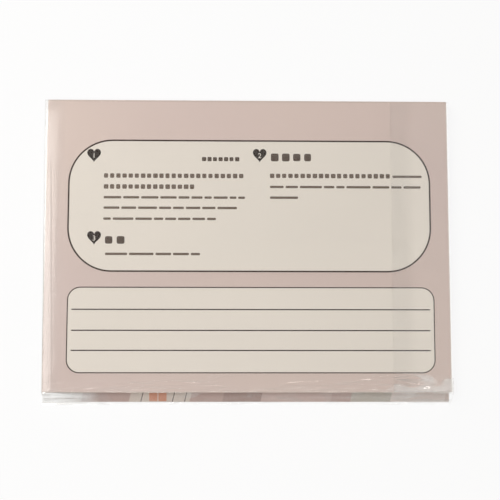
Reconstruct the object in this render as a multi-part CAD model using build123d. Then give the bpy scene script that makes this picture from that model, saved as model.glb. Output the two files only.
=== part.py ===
from build123d import *
import math
import os

# A recordable greeting card, 20 x 15 cm, in a clear film sleeve.
# It lies on its front leaf with its printed back up. The fold runs along X at the far side, +Y.
# The origin is the middle of the footprint, on the surface that the card lies on. Millimetres.

# Leaves of the card
card_width = 200.0
front_height = 150.0
open_edge_step = 5.0  # how much further the front leaf reaches than the back leaf
board_t = 0.45
corner_r = 0.8
leaf_gap = 1.2  # between the front leaf and the liner, which keeps the button free

# Liner and foam frame on the inner face of the back leaf
liner_t = 0.35
liner_inset = 0.5
cavity_depth = 4.4
foam_width = 10.0
foam_inset = 1.0
fold_clear = 0.55  # from the spine strip to what the back leaf carries

# Film sleeve
film_t = 0.05
film_gap = 0.05
flap_gap = 0.10
end_slack = 1.0  # beyond the card's short edges
side_slack = 0.3  # beyond the front leaf's open edge
seam_lip = 1.2
seam_knee = 0.25  # height above the front leaf at which the seam side starts to slope
flap_width = 29.5
adhesive_width = 11.5
adhesive_t = 0.05
flap_end_inset = 0.4

# Speaker
speaker_x = -40.0
speaker_y = 6.0
speaker_r = 14.0
flange_width = 3.0
flange_t = 0.5
gasket_t = 0.3
frame_wall = 0.4
bowl_top_r = 11.9
bowl_depth = 1.8
yoke_r = 6.4
yoke_wall = 1.6
yoke_height = 1.95
yoke_floor = 0.6
magnet_r = 3.5
pole_t = 0.5
pole_r = 3.8
coil_wall = 0.4
coil_height = 1.8
cone_t = 0.15
cone_depth = 0.55
cone_edge_clear = 0.1
terminal_length = 9.0
terminal_width = 4.6
terminal_t = 0.6
terminal_clear = 0.3
terminal_pitch = 4.0

# Perforations and holes of the liner
sound_hole_r = 0.9
sound_ring_pitch = 3.4
sound_rings = 3
sound_holes_per_ring = 6
mic_hole_r = 1.0
button_hole_clear = 0.35

# Circuit board, with its parts on the side that faces the liner
board_x = 27.0
board_y = 14.0
board_length = 36.0
board_width = 22.0
pcb_t = 0.8
board_tape_t = 0.5
tape_inset = 1.5
board_corner_r = 1.0
chip_dx = -4.0
chip_dy = -3.5
chip_r = 4.4
chip_height = 1.1
capacitor_size = (2.0, 1.25, 0.9)
resistor_size = (1.6, 0.8, 0.5)
passive_pitch = 2.6
capacitor_count = 3
resistor_count = 4
passive_dx = 3.2
passive_dy = 8.2
solder_r = 1.1
solder_t = 0.35
solder_top_r = 0.6

# Push switch and its button
switch_dx = 9.5
switch_dy = -1.5
switch_side = 6.0
switch_cover_t = 0.2
switch_height = 2.05  # base and cover together
switch_floor = 0.35
pocket_r = 2.2
plunger_r = 1.7
plunger_clear = 0.1
plunger_head_clear = 0.2
plunger_head_t = 0.6
plunger_seat_gap = 0.05
dome_t = 0.1
dome_edge_clear = 0.15
dome_stop_gap = 0.05
pin_side = 0.7
pin_reach = 0.9
pin_t = 0.25
press_travel = 0.4
button_r = 5.9
button_flange = 1.4
button_flange_t = 0.45
button_proud = 0.45
button_seat_gap = 0.05
button_edge_r = 0.3

# Microphone
mic_dx = -12.5
mic_dy = 5.5
mic_r = 3.0
mic_felt_t = 0.3
mic_pin_r = 0.3
mic_pin_length = 0.2
mic_pin_pitch = 2.0

# Button cells and their holder
holder_x = 27.0
holder_y = -24.0
cell_count = 3
cell_r = 5.8
cell_t = 3.05
cell_rim_r = 4.9
cell_rim_t = 0.3
cell_clear = 0.25
cell_web = 1.0  # holder wall between two cells
holder_wall = 1.2
holder_floor = 0.5
holder_tape_t = 0.2
contact_t = 0.15
contact_width = 4.0
contact_inset = 2.5
contact_clear = 0.1

# Insulated wires
wire_r = 0.5
arc_share = 0.45  # part of the shorter run that an arc takes at each end
pad_inset = 1.6  # from the board's edge to the middle of a solder joint
speaker_pads_dy = (-1.0, -5.5)
battery_pads_dx = (-12.0, 13.5)
# Points between a wire's ends, measured from its start
speaker_red_route = [(9.0, 3.0), (18.0, 6.5)]
speaker_black_route = [(9.0, -1.5), (18.0, 1.0)]
battery_red_route = [(-6.0, 0.0), (-7.5, 9.0), (-2.0, 16.0), (6.5, 22.0)]
battery_black_route = [(5.5, 0.0), (7.5, 7.5), (1.0, 15.5), (-6.0, 22.5)]

# Levels above the resting surface
lower_film_top = film_t
front_bottom = lower_film_top + film_gap + film_t + flap_gap
front_top = front_bottom + board_t
liner_face = front_top + leaf_gap
liner_back = liner_face + liner_t
cavity_top = liner_back + cavity_depth
back_top = cavity_top + board_t
upper_film_bottom = back_top + film_gap
upper_film_top = upper_film_bottom + film_t
flap_bottom = upper_film_top + flap_gap
flap_top = flap_bottom + film_t
flap_axis_z = (upper_film_bottom + flap_top) / 2

# Lines across the card, from the fold at the far side to the open edge
footprint = seam_lip + side_slack + front_height + film_gap + film_t
fold_y = footprint / 2 - film_gap - film_t
front_edge = fold_y - front_height
back_edge = front_edge + open_edge_step
inner_fold_edge = fold_y - board_t - fold_clear
upper_film_edge = back_edge - side_slack
half_width = card_width / 2
sleeve_end = half_width + end_slack

# Levels and places of the module
board_under = cavity_top - board_tape_t - pcb_t
wire_z = board_under - solder_t - wire_r
switch_x = board_x + switch_dx
switch_y = board_y + switch_dy
mic_x = board_x + mic_dx
mic_y = board_y + mic_dy
chip_x = board_x + chip_dx
chip_y = board_y + chip_dy
switch_face = board_under - switch_height
switch_base_face = switch_face + switch_cover_t
pocket_top = board_under - switch_floor
button_seat = liner_back + button_seat_gap
plunger_tip = button_seat + button_flange_t
cell_pitch = 2 * (cell_r + cell_clear) + cell_web
holder_length = cell_count * cell_pitch - cell_web + 2 * holder_wall
holder_width = 2 * (cell_r + cell_clear + holder_wall)
holder_floor_under = cavity_top - holder_tape_t - holder_floor
cell_top = holder_floor_under - contact_t
cell_face = cell_top - cell_t
speaker_flange_face = liner_back + gasket_t
speaker_flange_back = speaker_flange_face + flange_t
bowl_back = speaker_flange_back + bowl_depth
yoke_back = bowl_back - frame_wall + yoke_height


def slab(x0, x1, y0, y1, z0, z1):
    """A box between two corners."""
    middle = Pos((x0 + x1) / 2, (y0 + y1) / 2, (z0 + z1) / 2)
    return middle * Box(x1 - x0, y1 - y0, z1 - z0)


def disc(x, y, radius, z0, z1):
    """An upright cylinder between two levels."""
    return Pos(x, y, (z0 + z1) / 2) * Cylinder(radius, z1 - z0)


def turned(x, y, points):
    """A solid turned about the upright line through x, y from (radius, level) points."""
    face = make_face(Plane.XZ * Polyline(*points, close=True))
    return Pos(x, y, 0) * revolve(face, Axis.Z)


def rounded_sheet(x0, x1, y0, y1, z0, z1, radius):
    """A flat sheet with rounded corners."""
    sheet = slab(x0, x1, y0, y1, z0, z1)
    return fillet(sheet.edges().filter_by(Axis.Z), radius)


def front_cover():
    return rounded_sheet(
        -half_width, half_width, front_edge, fold_y, front_bottom, front_top, corner_r
    )


def back_cover():
    return rounded_sheet(
        -half_width, half_width, back_edge, fold_y, cavity_top, back_top, corner_r
    )


def spine_strip():
    """The narrow panel between the two scores of the fold."""
    return slab(-half_width, half_width, fold_y - board_t, fold_y, front_top, cavity_top)


def foam_strips():
    """Four foam strips that hold the liner off the back leaf, as a frame round the module."""
    left = -half_width + foam_inset
    right = half_width - foam_inset
    low = back_edge + foam_inset
    high = inner_fold_edge
    inner_low = low + foam_width
    inner_high = high - foam_width
    return {
        "foam_strip_fold_side": slab(left, right, inner_high, high, liner_back, cavity_top),
        "foam_strip_open_side": slab(left, right, low, inner_low, liner_back, cavity_top),
        "foam_strip_left": slab(
            left, left + foam_width, inner_low, inner_high, liner_back, cavity_top
        ),
        "foam_strip_right": slab(
            right - foam_width, right, inner_low, inner_high, liner_back, cavity_top
        ),
    }


def inner_liner():
    """The page glued over the module, with its sound holes, microphone hole and button hole."""
    sheet = rounded_sheet(
        -half_width + liner_inset,
        half_width - liner_inset,
        back_edge + liner_inset,
        inner_fold_edge,
        liner_face,
        liner_back,
        corner_r,
    )
    holes = [disc(speaker_x, speaker_y, sound_hole_r, liner_face, liner_back)]
    for ring in range(1, sound_rings + 1):
        count = sound_holes_per_ring * ring
        for step in range(count):
            angle = 2 * math.pi * step / count
            x = speaker_x + ring * sound_ring_pitch * math.cos(angle)
            y = speaker_y + ring * sound_ring_pitch * math.sin(angle)
            holes.append(disc(x, y, sound_hole_r, liner_face, liner_back))
    holes.append(disc(mic_x, mic_y, mic_hole_r, liner_face, liner_back))
    button_hole_r = button_r + button_hole_clear
    holes.append(disc(switch_x, switch_y, button_hole_r, liner_face, liner_back))
    return sheet - holes


def button_cap():
    """The round button, held behind the liner by its flange."""
    face = liner_face - button_proud
    head = disc(switch_x, switch_y, button_r, face, button_seat)
    head = fillet(head.edges().sort_by(Axis.Z)[0], button_edge_r)
    flange = disc(switch_x, switch_y, button_r + button_flange, button_seat, plunger_tip)
    return head + flange


def switch_plunger():
    """The switch's stem, with the head that keeps it in its pocket."""
    head_low = switch_base_face + plunger_seat_gap
    stem = disc(switch_x, switch_y, plunger_r, plunger_tip, head_low)
    head_r = pocket_r - plunger_head_clear
    head = disc(switch_x, switch_y, head_r, head_low, head_low + plunger_head_t)
    return stem + head


def switch_base():
    half = switch_side / 2
    block = slab(
        switch_x - half,
        switch_x + half,
        switch_y - half,
        switch_y + half,
        switch_base_face,
        board_under,
    )
    return block - disc(switch_x, switch_y, pocket_r, switch_base_face, pocket_top)


def switch_cover():
    """The switch's steel plate, which the stem comes through."""
    half = switch_side / 2
    plate = slab(
        switch_x - half,
        switch_x + half,
        switch_y - half,
        switch_y + half,
        switch_face,
        switch_base_face,
    )
    hole_r = plunger_r + plunger_clear
    return plate - disc(switch_x, switch_y, hole_r, switch_face, switch_base_face)


def switch_dome():
    """The snap dome at the end of the pocket, one press away from the stem's head."""
    crown = switch_base_face + plunger_seat_gap + plunger_head_t + press_travel + dome_stop_gap
    rim_r = pocket_r - dome_edge_clear
    shoulder_r = rim_r / 2
    shoulder = crown + (pocket_top - dome_t - crown) / 3
    points = [
        (0, crown),
        (shoulder_r, shoulder),
        (rim_r, pocket_top - dome_t),
        (rim_r, pocket_top),
        (shoulder_r, shoulder + dome_t),
        (0, crown + dome_t),
    ]
    return turned(switch_x, switch_y, points)


def switch_pins():
    """Four flat legs beside the switch, soldered to the board."""
    pins = []
    for side_x in (-1, 1):
        for side_y in (-1, 1):
            inner = switch_x + side_x * switch_side / 2
            outer = inner + side_x * pin_reach
            middle = switch_y + side_y * (switch_side / 2 - pin_side)
            pins.append(
                slab(
                    min(inner, outer),
                    max(inner, outer),
                    middle - pin_side / 2,
                    middle + pin_side / 2,
                    board_under - pin_t,
                    board_under,
                )
            )
    return Compound(pins)


def circuit_board():
    return rounded_sheet(
        board_x - board_length / 2,
        board_x + board_length / 2,
        board_y - board_width / 2,
        board_y + board_width / 2,
        board_under,
        board_under + pcb_t,
        board_corner_r,
    )


def board_tape():
    """The foam tape between the circuit board and the back leaf."""
    half_x = board_length / 2 - tape_inset
    half_y = board_width / 2 - tape_inset
    return slab(
        board_x - half_x,
        board_x + half_x,
        board_y - half_y,
        board_y + half_y,
        board_under + pcb_t,
        cavity_top,
    )


def sound_chip():
    """The black drop of resin over the sound chip."""
    ball_r = (chip_r**2 + chip_height**2) / (2 * chip_height)
    ball = Pos(chip_x, chip_y, board_under - chip_height + ball_r) * Sphere(ball_r)
    return ball & disc(chip_x, chip_y, chip_r, board_under - chip_height, board_under)


def passive_row(size, count, x, y):
    """A row of like chips along X on the board."""
    length, width, height = size
    row = []
    for step in range(count):
        middle = x + step * passive_pitch
        row.append(
            slab(
                middle - length / 2,
                middle + length / 2,
                y - width / 2,
                y + width / 2,
                board_under - height,
                board_under,
            )
        )
    return Compound(row)


def chip_capacitors():
    return passive_row(
        capacitor_size, capacitor_count, board_x + passive_dx, board_y + passive_dy
    )


def chip_resistors():
    return passive_row(
        resistor_size, resistor_count, board_x + passive_dx, board_y - passive_dy
    )


def microphone_can():
    low = liner_back + mic_felt_t
    return disc(mic_x, mic_y, mic_r, low, board_under - mic_pin_length)


def microphone_felt():
    return disc(mic_x, mic_y, mic_r, liner_back, liner_back + mic_felt_t)


def microphone_pins():
    pins = []
    for side in (-1, 1):
        x = mic_x + side * mic_pin_pitch / 2
        pins.append(disc(x, mic_y, mic_pin_r, board_under - mic_pin_length, board_under))
    return Compound(pins)


def cell_x(index):
    """Where a cell stands along the holder, counted from the left."""
    return holder_x + (index - (cell_count - 1) / 2) * cell_pitch


def battery_holder():
    """A tray with a round pocket for each cell, open towards the liner."""
    half_x = holder_length / 2
    half_y = holder_width / 2
    tray = slab(
        holder_x - half_x,
        holder_x + half_x,
        holder_y - half_y,
        holder_y + half_y,
        cell_face,
        holder_floor_under + holder_floor,
    )
    pocket_radius = cell_r + cell_clear
    pockets = [
        disc(cell_x(index), holder_y, pocket_radius, cell_face, holder_floor_under)
        for index in range(cell_count)
    ]
    half_slot = contact_width / 2 + contact_clear
    channel = slab(
        cell_x(0),
        holder_x + half_x,
        holder_y - half_slot,
        holder_y + half_slot,
        cell_top,
        holder_floor_under,
    )
    return tray - pockets - channel


def holder_tape():
    half_x = holder_length / 2 - tape_inset
    half_y = holder_width / 2 - tape_inset
    return slab(
        holder_x - half_x,
        holder_x + half_x,
        holder_y - half_y,
        holder_y + half_y,
        cavity_top - holder_tape_t,
        cavity_top,
    )


def battery_cell(index):
    """A button cell: its can against the tray's floor and its cap towards the liner."""
    x = cell_x(index)
    can = disc(x, holder_y, cell_r, cell_face + cell_rim_t, cell_top)
    return can + disc(x, holder_y, cell_rim_r, cell_face, cell_face + cell_rim_t)


def contact_strip(x0, x1, z0):
    half = contact_width / 2
    return slab(x0, x1, holder_y - half, holder_y + half, z0, z0 + contact_t)


def battery_contacts():
    """Strips that join the cells one after the other, with a tab for a wire at each end."""
    face_z = cell_face - contact_t
    reach = cell_r - contact_inset
    left_end = holder_x - holder_length / 2
    right_end = holder_x + holder_length / 2
    half = contact_width / 2
    tab_low = holder_y - half
    tab_high = holder_y + half
    left_tab = slab(
        left_end - contact_t, left_end, tab_low, tab_high, face_z, wire_z + wire_r
    )
    right_tab = slab(
        right_end, right_end + contact_t, tab_low, tab_high, wire_z - wire_r, holder_floor_under
    )
    return {
        "positive_contact": contact_strip(left_end, cell_x(0) + reach, face_z) + left_tab,
        "cell_link_floor": contact_strip(cell_x(0) - reach, cell_x(1) + reach, cell_top),
        "cell_link_face": contact_strip(cell_x(1) - reach, cell_x(2) + reach, face_z),
        "negative_contact": contact_strip(cell_x(2) - reach, right_end, cell_top) + right_tab,
    }


def speaker_frame():
    """The flange and the bowl behind it, with a seat for the yoke."""
    inner_r = speaker_r - flange_width
    seat_r = yoke_r
    points = [
        (inner_r, speaker_flange_face),
        (speaker_r, speaker_flange_face),
        (speaker_r, speaker_flange_back),
        (bowl_top_r, speaker_flange_back),
        (yoke_r + frame_wall, bowl_back),
        (seat_r, bowl_back),
        (seat_r, bowl_back - frame_wall),
        (inner_r, speaker_flange_back - frame_wall / 2),
    ]
    return turned(speaker_x, speaker_y, points)


def speaker_gasket():
    outer = disc(speaker_x, speaker_y, speaker_r, liner_back, speaker_flange_face)
    inner_r = speaker_r - flange_width
    return outer - disc(speaker_x, speaker_y, inner_r, liner_back, speaker_flange_face)


def coil_radius():
    """Middle radius of the voice coil, in the slot between the pole plate and the yoke."""
    return (pole_r + yoke_r - yoke_wall) / 2


def speaker_cone():
    """The film cone, glued to the flange's inner edge, with a flat cap over the coil."""
    edge_r = speaker_r - flange_width
    cap_r = coil_radius() + coil_wall / 2
    points = [
        (0, speaker_flange_face + cone_depth),
        (cap_r, speaker_flange_face + cone_depth),
        (edge_r, speaker_flange_face + cone_edge_clear),
        (edge_r, speaker_flange_face + cone_edge_clear + cone_t),
        (cap_r, speaker_flange_face + cone_depth + cone_t),
        (0, speaker_flange_face + cone_depth + cone_t),
    ]
    return turned(speaker_x, speaker_y, points)


def voice_coil():
    low = speaker_flange_face + cone_depth + cone_t
    middle = coil_radius()
    outer = disc(speaker_x, speaker_y, middle + coil_wall / 2, low, low + coil_height)
    inner = disc(speaker_x, speaker_y, middle - coil_wall / 2, low, low + coil_height)
    return outer - inner


def speaker_yoke():
    """The steel cup behind the bowl, with the magnet in it."""
    face = bowl_back - frame_wall
    cup = disc(speaker_x, speaker_y, yoke_r, face, yoke_back)
    return cup - disc(speaker_x, speaker_y, yoke_r - yoke_wall, face, yoke_back - yoke_floor)


def speaker_magnet():
    low = bowl_back - frame_wall + pole_t
    return disc(speaker_x, speaker_y, magnet_r, low, yoke_back - yoke_floor)


def pole_plate():
    low = bowl_back - frame_wall
    return disc(speaker_x, speaker_y, pole_r, low, low + pole_t)


def terminal_x():
    """Left edge of the speaker's terminal board, just outside the bowl."""
    return speaker_x + bowl_top_r + terminal_clear


def speaker_terminal():
    """The little board on the flange that the wires are soldered to."""
    half = terminal_length / 2
    return slab(
        terminal_x(),
        terminal_x() + terminal_width,
        speaker_y - half,
        speaker_y + half,
        speaker_flange_back,
        speaker_flange_back + terminal_t,
    )


def terminal_points():
    """Where the two wires end on the speaker's terminal board."""
    x = terminal_x() + terminal_width / 2
    return [(x, speaker_y + side * terminal_pitch / 2) for side in (1, -1)]


def board_points():
    """Where the wires end on the circuit board: two from the speaker, two from the cells."""
    left = board_x - board_length / 2 + pad_inset
    low = board_y - board_width / 2 + pad_inset
    return {
        "speaker_red": (left, board_y + speaker_pads_dy[0]),
        "speaker_black": (left, board_y + speaker_pads_dy[1]),
        "battery_red": (board_x + battery_pads_dx[0], low),
        "battery_black": (board_x + battery_pads_dx[1], low),
    }


def solder_joints():
    """A cone of solder under each wire end, on the circuit board and on the speaker."""
    joints = []
    for x, y in board_points().values():
        middle = board_under - solder_t / 2
        joints.append(Pos(x, y, middle) * Cone(solder_top_r, solder_r, solder_t))
    seat = speaker_flange_back + terminal_t
    height = wire_z - wire_r - seat
    for x, y in terminal_points():
        joints.append(Pos(x, y, seat + height / 2) * Cone(solder_r, solder_top_r, height))
    return Compound(joints)


def wire(points):
    """A round wire along straight runs joined by arcs, each as large as its runs allow."""
    route = [Vector(x, y, wire_z) for x, y in points]
    radii = []
    for before, corner, after in zip(route, route[1:], route[2:]):
        shorter = min((corner - before).length, (after - corner).length)
        turn = math.radians((corner - before).get_angle(after - corner))
        radii.append(arc_share * shorter / math.tan(turn / 2))
    path = FilletPolyline(*route, radius=radii)
    print("wire radii", [round(r, 1) for r in radii], "length", round(path.length, 1))
    start = Plane(origin=path @ 0, z_dir=path % 0)
    return sweep(start * Circle(wire_r), path=path)


def wire_between(start, route, end):
    """A wire from start to end through a route measured from its start."""
    middle = [(start[0] + dx, start[1] + dy) for dx, dy in route]
    return wire([start, *middle, end])


def wires():
    """The speaker's pair and the cells' pair, each laid flat between the board and its end."""
    ends = board_points()
    high, low = terminal_points()
    left_tab = (holder_x - holder_length / 2 - contact_t, holder_y)
    right_tab = (holder_x + holder_length / 2 + contact_t, holder_y)
    return {
        "speaker_wire_red": wire_between(high, speaker_red_route, ends["speaker_red"]),
        "speaker_wire_black": wire_between(low, speaker_black_route, ends["speaker_black"]),
        "battery_wire_red": wire_between(left_tab, battery_red_route, ends["battery_red"]),
        "battery_wire_black": wire_between(
            right_tab, battery_black_route, ends["battery_black"]
        ),
    }


def seam_line():
    """Inner line of the seam side, from the upper sheet down to its lip, as (y, z) points."""
    foot_y = front_edge - side_slack
    return [
        (upper_film_edge, upper_film_bottom),
        (upper_film_edge - side_slack, upper_film_bottom),
        (foot_y, front_top + seam_knee),
        (foot_y, lower_film_top),
    ]


def sleeve_lower_sheet():
    low = front_edge - side_slack - seam_lip
    return slab(-sleeve_end, sleeve_end, low, fold_y, 0, lower_film_top)


def sleeve_upper_sheet():
    return slab(
        -sleeve_end, sleeve_end, upper_film_edge, fold_y, upper_film_bottom, upper_film_top
    )


def sleeve_fold_side():
    """The film over the card's fold, between the levels that the leaves turn about."""
    near = fold_y + film_gap
    return slab(
        -sleeve_end,
        sleeve_end,
        near,
        near + film_t,
        front_bottom + film_gap,
        back_top - film_gap,
    )


def outside_line(points):
    """The points moved out by the film's thickness, with mitred corners."""
    route = [Vector(*point) for point in points]
    runs = [(after - before).normalized() for before, after in zip(route, route[1:])]
    normals = [Vector(run.Y, -run.X) for run in runs]
    moved = []
    for point, first, second in zip(route, normals[:1] + normals, normals + normals[-1:]):
        moved.append(point + (first + second) * (film_t / (1 + first.dot(second))))
    return [(point.X, point.Y) for point in moved]


def sleeve_seam_side():
    """The film that slopes from the back leaf's edge down to the sealed lip."""
    foot_y = front_edge - side_slack
    inner = seam_line() + [(foot_y - seam_lip, lower_film_top)]
    outline = inner + outside_line(inner)[::-1]
    section = make_face(Plane.YZ * Polyline(*outline, close=True))
    return extrude(section, amount=sleeve_end, dir=(1, 0, 0), both=True)


def sleeve_end_fold():
    """The folded end of the sleeve, which closes it at the card's left edge."""
    outline = Polyline(
        (fold_y, upper_film_bottom), *seam_line(), (fold_y, lower_film_top), close=True
    )
    wall = extrude(make_face(Plane.YZ * outline), amount=film_t, dir=(1, 0, 0))
    return Pos(-sleeve_end, 0, 0) * wall


def sleeve_flap():
    return slab(
        sleeve_end - flap_width,
        sleeve_end,
        upper_film_edge + flap_end_inset,
        fold_y - flap_end_inset,
        flap_bottom,
        flap_top,
    )


def flap_adhesive():
    """The strip of glue under the flap's free edge."""
    edge = sleeve_end - flap_width
    return slab(
        edge,
        edge + adhesive_width,
        upper_film_edge + 2 * flap_end_inset,
        fold_y - 2 * flap_end_inset,
        flap_bottom - adhesive_t,
        flap_bottom,
    )


def card_parts():
    """Every piece of the object by name."""
    parts = {
        "front_cover": front_cover(),
        "spine_strip": spine_strip(),
        "back_cover": back_cover(),
        "inner_liner": inner_liner(),
        "button_cap": button_cap(),
        "switch_plunger": switch_plunger(),
        "switch_base": switch_base(),
        "switch_cover": switch_cover(),
        "switch_dome": switch_dome(),
        "switch_pins": switch_pins(),
        "circuit_board": circuit_board(),
        "board_tape": board_tape(),
        "sound_chip": sound_chip(),
        "chip_capacitors": chip_capacitors(),
        "chip_resistors": chip_resistors(),
        "solder_joints": solder_joints(),
        "microphone_can": microphone_can(),
        "microphone_felt": microphone_felt(),
        "microphone_pins": microphone_pins(),
        "battery_holder": battery_holder(),
        "holder_tape": holder_tape(),
        "speaker_frame": speaker_frame(),
        "speaker_gasket": speaker_gasket(),
        "speaker_cone": speaker_cone(),
        "voice_coil": voice_coil(),
        "speaker_yoke": speaker_yoke(),
        "speaker_magnet": speaker_magnet(),
        "speaker_pole_plate": pole_plate(),
        "speaker_terminal": speaker_terminal(),
        "sleeve_lower_sheet": sleeve_lower_sheet(),
        "sleeve_upper_sheet": sleeve_upper_sheet(),
        "sleeve_fold_side": sleeve_fold_side(),
        "sleeve_seam_side": sleeve_seam_side(),
        "sleeve_end_fold": sleeve_end_fold(),
        "sleeve_flap": sleeve_flap(),
        "flap_adhesive": flap_adhesive(),
    }
    parts.update(foam_strips())
    parts.update(battery_contacts())
    parts.update(wires())
    for index in range(cell_count):
        parts[f"battery_cell_{index + 1}"] = battery_cell(index)
    return parts


os.makedirs("parts", exist_ok=True)
for name, shape in card_parts().items():
    export_step(shape, f"parts/{name}.step")
    print(name, round(shape.volume, 3))
print("fold axes y", fold_y, "z", front_bottom, back_top)
print("flap axis x", sleeve_end, "z", flap_axis_z)
print("button", switch_x, switch_y, "travel", press_travel)
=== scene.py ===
# %% [markdown]
# # A recordable greeting card in its clear sleeve
# The card lies shut on its front face, and the back leaf looks up. Inside the
# back leaf sit a speaker, a push switch, a microphone and three button cells.
# All solids come from the CAD frame, in metres, and this script gives them
# their finishes, their printing and the soft film round them.

# %% Load the frame
import math
import random
from functools import partial

import bmesh
import bpy
from mathutils import Euler, Matrix, Vector, noise


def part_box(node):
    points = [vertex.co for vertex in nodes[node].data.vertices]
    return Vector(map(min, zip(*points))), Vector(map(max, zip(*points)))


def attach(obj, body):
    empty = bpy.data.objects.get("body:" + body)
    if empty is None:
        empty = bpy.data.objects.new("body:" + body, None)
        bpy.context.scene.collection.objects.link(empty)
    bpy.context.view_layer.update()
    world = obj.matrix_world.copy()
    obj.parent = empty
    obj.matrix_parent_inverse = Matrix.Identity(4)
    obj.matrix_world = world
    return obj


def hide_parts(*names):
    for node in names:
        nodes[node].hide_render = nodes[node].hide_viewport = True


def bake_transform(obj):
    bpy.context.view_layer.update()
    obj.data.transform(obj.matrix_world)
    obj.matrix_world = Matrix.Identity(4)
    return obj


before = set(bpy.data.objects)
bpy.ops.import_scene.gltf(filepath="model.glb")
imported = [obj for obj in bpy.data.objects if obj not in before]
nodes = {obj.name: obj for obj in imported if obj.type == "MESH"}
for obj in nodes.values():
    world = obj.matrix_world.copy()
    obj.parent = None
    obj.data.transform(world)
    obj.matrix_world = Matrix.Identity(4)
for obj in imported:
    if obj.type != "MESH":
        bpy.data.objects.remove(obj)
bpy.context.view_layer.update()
scene = bpy.context.scene
MM = 0.001


# %% Read the card's levels from the frame
def box_mm(name):
    """The low and the high corner of a node's box, in mm."""
    return [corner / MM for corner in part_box(name)]


def centre_mm(name):
    """x and y of a node's middle, in mm."""
    low, high = box_mm(name)
    return (low.x + high.x) / 2, (low.y + high.y) / 2


back_low, back_high = box_mm("back_cover")
front_low, front_high = box_mm("front_cover")
spine_low, spine_high = box_mm("spine_strip")
SPEAKER_AT = centre_mm("speaker_frame")
BUTTON_AT = centre_mm("button_cap")
MIC_AT = centre_mm("microphone_can")
print("back leaf top", round(back_high.z, 3), "front leaf top", round(front_high.z, 3))
print("speaker, button, microphone at", SPEAKER_AT, BUTTON_AT, MIC_AT)

# %% [markdown]
# ## Camera
# The photograph looks almost straight down on the card, from a little on the
# open edge's side, so the far edge is shorter than the near one. A camera set
# by eye would drift, so the lens and the place were worked out from the four
# corners of the leaf and the printed frames, and are written here as numbers.


# %% Set up the camera
def add_object(name, data):
    """An object with its data, in the scene."""
    made = bpy.data.objects.new(name, data)
    scene.collection.objects.link(made)
    return made


CAMERA_AT = (-7.33, -43.08, 454.82)
CAMERA_TURNS = (5.544, -1.085, 0.059)
camera_data = bpy.data.cameras.new("camera")
camera_data.lens = 65.5
camera_data.sensor_width = 36.0
camera_data.clip_start = 0.01
camera = add_object("camera", camera_data)
camera.location = Vector(CAMERA_AT) * MM
camera.rotation_euler = Euler([math.radians(turn) for turn in CAMERA_TURNS])
scene.camera = camera
scene.view_settings.view_transform = "Standard"
# At the glue strip light crosses six faces of film on its way down to the card,
# and as many on its way back.
scene.cycles.transparent_max_bounces = 32
print("camera at mm", CAMERA_AT)

# %% [markdown]
# ## Small helpers for node trees
# Every finish is a tree of nodes. One node takes several lines to add, set and
# link, so each helper here does that in one call, and finds the tree from the
# value that it works on. A group holds an effect that several finishes share,
# such as paper fibre, and each finish sets its own values on the group's inputs.


# %% Helpers that add nodes
def tone(red, green, blue):
    """A colour picked as 0-255 screen numbers, as the linear light that nodes take."""
    shares = [c / 255 for c in (red, green, blue)]
    return (*(c / 12.92 if c <= 0.04045 else ((c + 0.055) / 1.055) ** 2.4 for c in shares), 1.0)


def join(tree, value, socket):
    """Links a node's value to a socket, or sets a plain value on it."""
    if isinstance(value, bpy.types.NodeSocket):
        tree.links.new(value, socket)
    else:
        socket.default_value = value


def node(tree, kind, takes=None, **settings):
    """Adds a node, sets its settings, and sets or links each named input."""
    made = tree.nodes.new("ShaderNode" + kind)
    for name, value in settings.items():
        setattr(made, name, value)
    for name, value in (takes or {}).items():
        join(tree, value, made.inputs[name])
    return made


def maths(operation, *values):
    """One Math node, in the tree that its values come from, as its output."""
    tree = next(value.id_data for value in values if isinstance(value, bpy.types.NodeSocket))
    return node(tree, "Math", dict(enumerate(values)), operation=operation).outputs[0]


plus, minus, times = (partial(maths, kind) for kind in ("ADD", "SUBTRACT", "MULTIPLY"))


def between(share, low, high):
    """Two colours mixed by share, as the colour output."""
    takes = {0: share, 6: low, 7: high}
    return node(share.id_data, "Mix", takes, data_type="RGBA").outputs[2]


def spread(value, low, high, to_low=0.0, to_high=1.0):
    """value moved from one range to another and kept inside it."""
    takes = {0: value, 1: low, 2: high, 3: to_low, 4: to_high}
    return node(value.id_data, "MapRange", takes, clamp=True).outputs[0]


# %% Helpers for places, noise and bumps
def place_in(tree):
    """Where a point lies, as its object coordinates in metres."""
    return node(tree, "TexCoord").outputs["Object"]


def axes(place):
    """x, y and z of a place."""
    return node(place.id_data, "SeparateXYZ", {0: place}).outputs


def mapped(place, **how):
    """A place that is moved, turned or scaled."""
    return node(place.id_data, "Mapping", {"Vector": place, **how}).outputs[0]


def vector_maths(operation, takes):
    """One Vector Math node, as its outputs."""
    return node(takes[0].id_data, "VectorMath", takes, operation=operation).outputs


def stretched(place, factors):
    """A place with each axis multiplied by its own factor."""
    return vector_maths("MULTIPLY", {0: place, 1: factors})[0]


def length(vector):
    return vector_maths("LENGTH", {0: vector})["Value"]


def brighter(colour, factor):
    return vector_maths("SCALE", {0: colour, "Scale": factor})[0]


def noise_node(place, scale, detail=2.0, **takes):
    """Smooth noise from 0 to 1, with more fine structure as detail grows."""
    takes = {"Vector": place, "Scale": scale, "Detail": detail, **takes}
    return node(place.id_data, "TexNoise", takes).outputs[0]


def bump(height, depth):
    """The normal of a surface that a height of 0 to 1 raises by depth mm."""
    takes = {"Height": height, "Distance": depth * MM, "Strength": 1.0}
    return node(height.id_data, "Bump", takes).outputs[0]


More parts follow.
